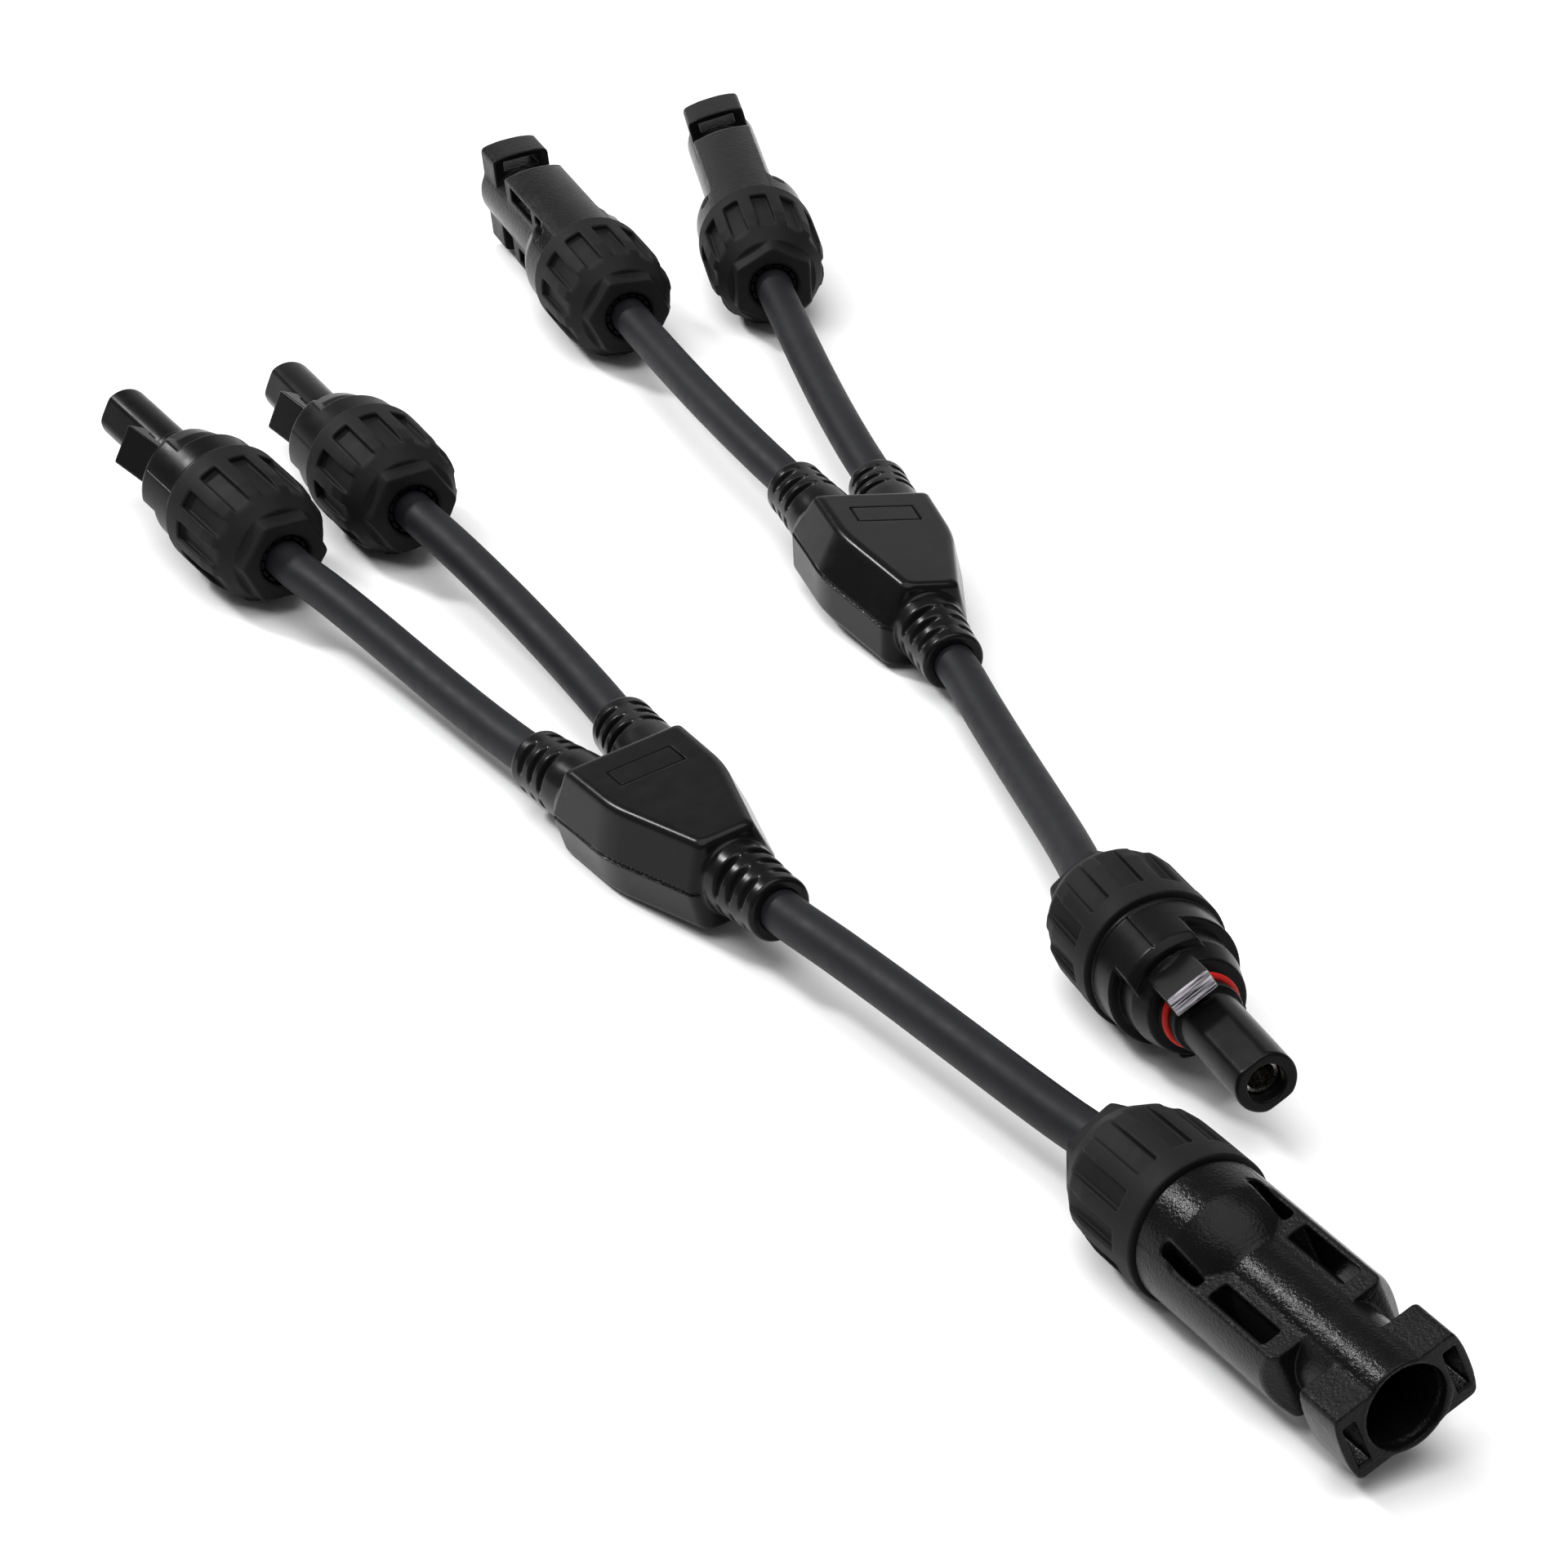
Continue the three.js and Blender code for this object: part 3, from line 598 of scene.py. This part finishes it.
class Graph:
    """A material's node tree with short calls for the nodes used here."""

    def __init__(self, name):
        self.material = bpy.data.materials.new(name)
        self.material.use_nodes = True
        self.nodes = self.material.node_tree.nodes
        self.links = self.material.node_tree.links
        self.shader = self.nodes["Principled BSDF"]
        self.where = self.nodes.new("ShaderNodeTexCoord").outputs["Object"]

    def noise(self, scale, detail=2.0, roughness=0.5, vector=None):
        node = self.nodes.new("ShaderNodeTexNoise")
        node.inputs["Scale"].default_value = scale
        node.inputs["Detail"].default_value = detail
        node.inputs["Roughness"].default_value = roughness
        self.links.new(vector or self.where, node.inputs["Vector"])
        return node.outputs["Fac"]

    def ramp(self, value, lo, hi, low_out, high_out):
        node = self.nodes.new("ShaderNodeMapRange")
        for name, number in (("From Min", lo), ("From Max", hi), ("To Min", low_out), ("To Max", high_out)):
            node.inputs[name].default_value = number
        self.links.new(value, node.inputs["Value"])
        return node.outputs["Result"]

    def mix(self, value, a, b):
        node = self.nodes.new("ShaderNodeMix")
        node.data_type = "RGBA"
        node.inputs["A"].default_value = (*a, 1)
        node.inputs["B"].default_value = (*b, 1)
        self.links.new(value, node.inputs["Factor"])
        return node.outputs["Result"]

    def bump(self, height, strength, distance):
        node = self.nodes.new("ShaderNodeBump")
        node.inputs["Strength"].default_value = strength
        node.inputs["Distance"].default_value = distance
        self.links.new(height, node.inputs["Height"])
        return node.outputs["Normal"]

    def product(self, a, b):
        node = self.nodes.new("ShaderNodeMath")
        node.operation = "MULTIPLY"
        self.links.new(a, node.inputs[0])
        self.links.new(b, node.inputs[1])
        return node.outputs["Value"]

    def size_of(self, value, less=0.0):
        """Absolute value of a value less a number."""
        shifted = self.nodes.new("ShaderNodeMath")
        shifted.operation = "SUBTRACT"
        self.links.new(value, shifted.inputs[0])
        shifted.inputs[1].default_value = less
        absolute = self.nodes.new("ShaderNodeMath")
        absolute.operation = "ABSOLUTE"
        self.links.new(shifted.outputs["Value"], absolute.inputs[0])
        return absolute.outputs["Value"]

    def along(self, axis):
        split = self.nodes.new("ShaderNodeSeparateXYZ")
        self.links.new(self.where, split.inputs["Vector"])
        return split.outputs[axis]

    def from_faces(self, axis, height):
        """Distance from the two planes at a height on both sides across an axis."""
        return self.size_of(self.size_of(self.along(axis)), height)

    def put(self, socket, output):
        self.links.new(output, self.shader.inputs[socket])


def moulded_plastic(name, dark, light, rough, grain_mm, grain_depth, flats=None, shine=0.1):
    """Black thermoplastic or rubber: fine mould grain and slow changes of tone and gloss.

    flats is the height in mm of two flat faces. They have the whole grain, the rest GRAIN_OFF_FLATS of it.
    """
    g = Graph(name)
    g.shader.inputs["Specular IOR Level"].default_value = shine
    tone = g.ramp(g.noise(120.0, 3.0), 0.3, 0.7, 0, 1)
    g.put("Base Color", g.mix(tone, dark, light))
    fine = g.noise(1000.0 / grain_mm, 2.0, 0.6)
    gloss = g.ramp(g.noise(420.0, 4.0), 0.3, 0.7, rough - 0.04, rough + 0.04)
    if flats:
        near, far = 0.12 * MM, 0.3 * MM
        coarse = g.ramp(g.from_faces("Y", flats * MM), near, far, 1.0, GRAIN_OFF_FLATS)
        fine = g.product(g.ramp(fine, 0.35, 0.65, 0, 1), coarse)
        gloss = g.product(gloss, g.ramp(coarse, GRAIN_OFF_FLATS, 1, 1.0, 1.7))
    g.put("Roughness", gloss)
    g.put("Normal", g.bump(fine, 0.5, grain_depth * MM))
    return g.material


def latch_plastic():
    """Housing plastic whose hook ends have the pale striped finish of a sheared face."""
    g = Graph("latch_plastic")
    end = g.ramp(g.along("Z"), (ARM_L1 - 0.12) * MM, (ARM_L1 - 0.04) * MM, 0, 1)
    stretch = g.nodes.new("ShaderNodeMapping")
    stretch.inputs["Scale"].default_value = (0.06, 1.3, 0.2)
    g.links.new(g.where, stretch.inputs["Vector"])
    stripes = g.ramp(g.noise(3200.0, 3.0, 0.7, stretch.outputs["Vector"]), 0.4, 0.62, 0, 1)
    pale = g.product(end, stripes)
    g.put("Base Color", g.mix(pale, (0.004, 0.004, 0.0042), (0.85, 0.8, 0.88)))
    g.put("Roughness", g.ramp(end, 0, 1, 0.26, 0.5))
    g.shader.inputs["Specular IOR Level"].default_value = 0.1
    g.put("Normal", g.bump(g.noise(4500.0, 2.0, 0.6), 0.5, 0.012 * MM))
    return g.material


def metal(name, colour, rough):
    g = Graph(name)
    g.shader.inputs["Metallic"].default_value = 1.0
    g.put("Base Color", g.mix(g.noise(900.0, 3.0), colour, tuple(c * 0.8 for c in colour)))
    g.put("Roughness", g.ramp(g.noise(1500.0, 3.0), 0.3, 0.7, rough - 0.06, rough + 0.08))
    return g.material


NUT_PLASTIC = moulded_plastic(
    "nut_plastic", dark=(0.0078, 0.0078, 0.0079), light=(0.0105, 0.0105, 0.0106),
    rough=0.55, grain_mm=0.2, grain_depth=0.03, shine=0.06)
HOUSING_PLASTIC = moulded_plastic(
    "housing_plastic", dark=(0.0032, 0.0032, 0.0033), light=(0.0045, 0.0045, 0.0046),
    rough=0.22, grain_mm=0.42, grain_depth=0.11, flats=4.87, shine=0.085)
PLUG_PLASTIC = moulded_plastic(
    "plug_plastic", dark=(0.0035, 0.0035, 0.0036), light=(0.005, 0.005, 0.0051),
    rough=0.3, grain_mm=0.3, grain_depth=0.02, shine=0.065)
JUNCTION_PLASTIC = moulded_plastic(
    "junction_plastic", dark=(0.0045, 0.0042, 0.0043), light=(0.006, 0.0056, 0.0057),
    rough=0.23, grain_mm=0.3, grain_depth=0.003, shine=0.105)
CABLE_JACKET = moulded_plastic(
    "cable_jacket", dark=(0.0062, 0.0063, 0.0078), light=(0.0082, 0.0084, 0.0103),
    rough=0.55, grain_mm=0.25, grain_depth=0.006, shine=0.15)
# Darkest finish: the basket's own black rubber, darkened further to paint the shade of the recess inside the
# nut where it sits.
SEAL_RUBBER_WITH_PAINTED_SHADE = moulded_plastic(
    "seal_rubber", dark=(0.0018, 0.0018, 0.0018), light=(0.0026, 0.0026, 0.0026),
    rough=0.8, grain_mm=0.3, grain_depth=0.01)
RING_RUBBER = moulded_plastic(
    "ring_rubber", dark=(0.36, 0.010, 0.008), light=(0.42, 0.014, 0.011),
    rough=0.42, grain_mm=0.3, grain_depth=0.006)
LATCH_PLASTIC = latch_plastic()
CONTACT_METAL = metal("contact_metal", (0.62, 0.60, 0.56), 0.25)
SPLICE_METAL = metal("splice_metal", (0.72, 0.47, 0.30), 0.35)
FINISH = {
    "nut_plastic": NUT_PLASTIC, "housing_plastic": HOUSING_PLASTIC, "junction_plastic": JUNCTION_PLASTIC,
    "cable_jacket": CABLE_JACKET, "seal_rubber": SEAL_RUBBER_WITH_PAINTED_SHADE, "ring_rubber": RING_RUBBER,
    "contact_metal": CONTACT_METAL, "splice_metal": SPLICE_METAL,
}


def repaint_cad_nodes():
    """Carried-over CAD nodes take the same finishes."""
    slots = {entry["node"]: entry["material_slot"] for entry in frame["record"]["subparts"]}
    for name, node in frame["nodes"].items():
        node.data.materials.clear()
        node.data.materials.append(FINISH[slots[name]])


# Cables

def boot_frame(key, place):
    if key == "trunk":
        return TRUNK_BASE, TRUNK_LEAD
    side = -1 if key == "left" else 1
    return (side * BRANCH_BASE[0], BRANCH_BASE[1]), (side * place[key], BRANCH_LEAD_Y)


def cable_points(run):
    """Points of a cable from inside its nut, in one easy curve, to inside its boot."""
    connector, junction = CONNECTORS[run["start"]], JUNCTIONS[run["end"]]
    from_nut, from_junction = connector_matrix(connector, 0), junction_matrix(junction)
    base, lead = boot_frame(run["boot"], junction)
    in_nut = [from_nut @ Vector((0, 0, l * MM)) for l in (CABLE_INNER_L, CABLE_NUT_L, 0, -CABLE_STRAIGHT)]
    start, end = in_nut[-1], from_junction @ (Vector((*lead, 0)) * MM)
    reach = (end - start).length
    nut_axis = from_nut.to_3x3() @ Vector((0, 0, 1))
    leave = Quaternion((0, 0, 1), math.radians(run["turn"])) @ -nut_axis
    turn = from_junction.to_3x3()
    into_boot = (turn @ Vector((base[0] - lead[0], base[1] - lead[1], 0))).normalized()
    straight = turn @ Vector((0, -1 if run["boot"] == "trunk" else 1, 0))
    arrive = Quaternion(turn @ Vector((0, 0, 1)), math.radians(run["fan"])) @ straight
    leave_pull, arrive_pull = run["pull"]
    middle = []
    for t in CABLE_SHARES:
        share, swing = t * t * (3 - 2 * t), t * (1 - t)
        point = start.lerp(end, share) + leave * (reach * leave_pull * swing * (1 - t))
        middle.append(point - arrive * (reach * arrive_pull * swing * t))
    in_boot = [end + into_boot * (l * MM) for l in CABLE_IN_BOOT]
    return [*in_nut, *middle, end, *in_boot]


SPAN_STEPS = 24


def through(points, count):
    """Centripetal Catmull-Rom curve through points, as evenly spaced points."""
    ends = [points[0] * 2 - points[1], *points, points[-1] * 2 - points[-2]]
    dense = []
    for a, b, c, d in zip(ends, ends[1:], ends[2:], ends[3:]):
        ka, kb, kc = ((q - p).length ** 0.5 for p, q in ((a, b), (b, c), (c, d)))
        m0 = ((b - a) / ka - (c - a) / (ka + kb) + (c - b) / kb) * kb
        m1 = ((c - b) / kb - (d - b) / (kb + kc) + (d - c) / kc) * kb
        for i in range(SPAN_STEPS):
            t = i / SPAN_STEPS
            dense.append(b * (2 * t ** 3 - 3 * t ** 2 + 1) + m0 * (t ** 3 - 2 * t ** 2 + t)
                         + c * (3 * t ** 2 - 2 * t ** 3) + m1 * (t ** 3 - t ** 2))
    dense.append(points[-1])
    steps = np.array([0.0] + [(q - p).length for p, q in zip(dense, dense[1:])]).cumsum()
    even = np.linspace(0, steps[-1], count)
    columns = [np.interp(even, steps, [p[k] for p in dense]) for k in range(3)]
    return [Vector(p) for p in zip(*columns)], float(steps[-1])


def add_cable(run):
    points, length = through(cable_points(run), CABLE_POINTS)
    curve = bpy.data.curves.new(run["name"] + "_jacket", "CURVE")
    curve.dimensions = "3D"
    curve.bevel_depth = CABLE_R * MM
    curve.bevel_resolution = 10
    curve.use_fill_caps = True
    spline = curve.splines.new("POLY")
    spline.points.add(len(points) - 1)
    for target, p in zip(spline.points, points):
        target.co = (*p, 1)
    spline.use_smooth = True
    curve.materials.append(CABLE_JACKET)
    piece = bpy.data.objects.new(run["name"] + "_jacket", curve)
    bpy.context.scene.collection.objects.link(piece)
    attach(piece, "harness_" + run["end"])
    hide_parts(run["name"])


# Camera, floor and light

# In metres and watts
FLOOR_HALF = 6.0
WORLD_STRENGTH = 0.19
LIGHTS = (
    dict(name="overhead", at=(-0.3, -0.6, 3.8), size=(4.6, 4.6), power=235.0, aim=(0, 0, 0)),
    dict(name="key", at=(-2.64, 1.68, 2.48), size=(0.55, 0.55), power=105.0, aim=(0, 0, 0)),
    dict(name="backdrop", at=(0.0, 4.0, 1.15), size=(6.0, 2.3), power=29.0, aim=(0, 0, 1.15)),
)


def add_camera():
    data = bpy.data.cameras.new("camera")
    data.lens = CAMERA_LENS
    data.sensor_width = 36.0
    data.clip_start = 0.02
    camera = bpy.data.objects.new("camera", data)
    bpy.context.scene.collection.objects.link(camera)
    pitch, roll = math.radians(CAMERA_PITCH), math.radians(CAMERA_ROLL)
    forward = Vector((0, math.cos(pitch), -math.sin(pitch)))
    right = Quaternion(forward, -roll) @ Vector((1, 0, 0))
    up = right.cross(forward)
    m = Matrix((right, up, -forward)).transposed().to_4x4()
    m.translation = (Vector(CAMERA_TARGET) - forward * CAMERA_DISTANCE) * MM
    camera.matrix_world = m
    bpy.context.scene.camera = camera


def add_floor():
    mesh = bpy.data.meshes.new("floor")
    s = FLOOR_HALF
    mesh.from_pydata([(-s, -s, 0), (s, -s, 0), (s, s, 0), (-s, s, 0)], [], [(0, 1, 2, 3)])
    floor = bpy.data.objects.new("floor", mesh)
    bpy.context.scene.collection.objects.link(floor)
    g = Graph("floor_paper")
    g.put("Base Color", g.mix(g.noise(3.0), (0.9, 0.9, 0.9), (0.905, 0.905, 0.905)))
    g.shader.inputs["Roughness"].default_value = 0.9
    g.shader.inputs["Specular IOR Level"].default_value = 0.1
    mesh.materials.append(g.material)


def add_light(name, at, size, power, aim):
    data = bpy.data.lights.new(name, "AREA")
    data.shape = "RECTANGLE"
    data.size, data.size_y = size
    data.energy = power
    light = bpy.data.objects.new(name, data)
    bpy.context.scene.collection.objects.link(light)
    light.location = at
    light.rotation_euler = (Vector(aim) - Vector(at)).to_track_quat("-Z", "Y").to_euler()


def add_world(strength):
    world = bpy.data.worlds.new("studio")
    world.use_nodes = True
    back = world.node_tree.nodes["Background"]
    back.inputs["Color"].default_value = (1, 1, 1, 1)
    back.inputs["Strength"].default_value = strength
    bpy.context.scene.world = world


add_camera()
add_floor()
add_world(WORLD_STRENGTH)
for light in LIGHTS:
    add_light(**light)
bpy.context.scene.view_settings.view_transform = "Standard"

repaint_cad_nodes()
for run in RUNS:
    add_cable(run)

STEP = 0.24
MOULD_STEP = 0.225
RING_STEP = STEP * 0.7

# Each with a box that holds the whole solid
MESHES = {
    "nut": moulded_mesh("cap_nut", cap_nut, (-10, -10, 0), (10, 10, 19), STEP),
    "basket": moulded_mesh("clamp_basket", clamp_basket, (-7, -7, 0.4), (7, 7, 10.5), STEP),
    "socket": moulded_mesh("socket_housing", socket_housing, (-9.1, -9.1, 11.5), (9.1, 9.1, 58.2), STEP),
    "plug": moulded_mesh("plug_housing", plug_housing, (-9.1, -9.1, 11.5), (9.1, 9.1, 51.5), STEP),
    "arm": moulded_mesh("latch_arm", latch_arm, (-3.1, 5.3, 28.7), (3.1, 8.3, 37.2), STEP),
    "ring": moulded_mesh("o_ring", o_ring, (-5.1, -5.1, 31.5), (5.1, 5.1, 32.7), RING_STEP),
}


def add_connector(name, place):
    harness = "harness_" + name[0]
    still = connector_matrix(place, place["turn"])
    turned_nut = connector_matrix(place, place["nut"])
    add_piece(name + "_nut_skin", MESHES["nut"], turned_nut, NUT_PLASTIC, name + "_nut", "nut_plastic",
              name + "_cap_nut")
    # The basket's finish carries painted shade of the recess inside the nut.
    add_piece(name + "_basket_skin", MESHES["basket"], turned_nut, SEAL_RUBBER_WITH_PAINTED_SHADE, name + "_basket",
              "seal_rubber", name + "_clamp_basket")
    if "socket" in name:
        add_piece(name + "_shell", MESHES["socket"], still, HOUSING_PLASTIC, harness, "housing_plastic",
                  name + "_housing")
        return
    add_piece(name + "_shell", MESHES["plug"], still, PLUG_PLASTIC, harness, "housing_plastic",
              name + "_housing")
    add_piece(name + "_ring_skin", MESHES["ring"], still, RING_RUBBER, harness, "ring_rubber",
              name + "_o_ring")
    for arm, half_turn in (("a", 0), ("b", 180)):
        matrix = still @ Matrix.Rotation(math.radians(half_turn), 4, "Z")
        add_piece(f"{name}_arm_{arm}_skin", MESHES["arm"], matrix, LATCH_PLASTIC, f"{name}_arm_{arm}",
                  "housing_plastic", f"{name}_latch_arm_{arm}")


def add_junction(key, place):
    solid = partial(moulding, left=place["left"], right=place["right"])
    mesh = moulded_mesh(key + "_moulding", solid, (-12.2, -22.5, -6.6), (12.2, 34.5, 6.6), MOULD_STEP)
    add_piece(key + "_moulding_skin", mesh, junction_matrix(place), JUNCTION_PLASTIC, "harness_" + key,
              "junction_plastic", key + "_moulding")


for name, place in CONNECTORS.items():
    add_connector(name, place)
for key, place in JUNCTIONS.items():
    add_junction(key, place)
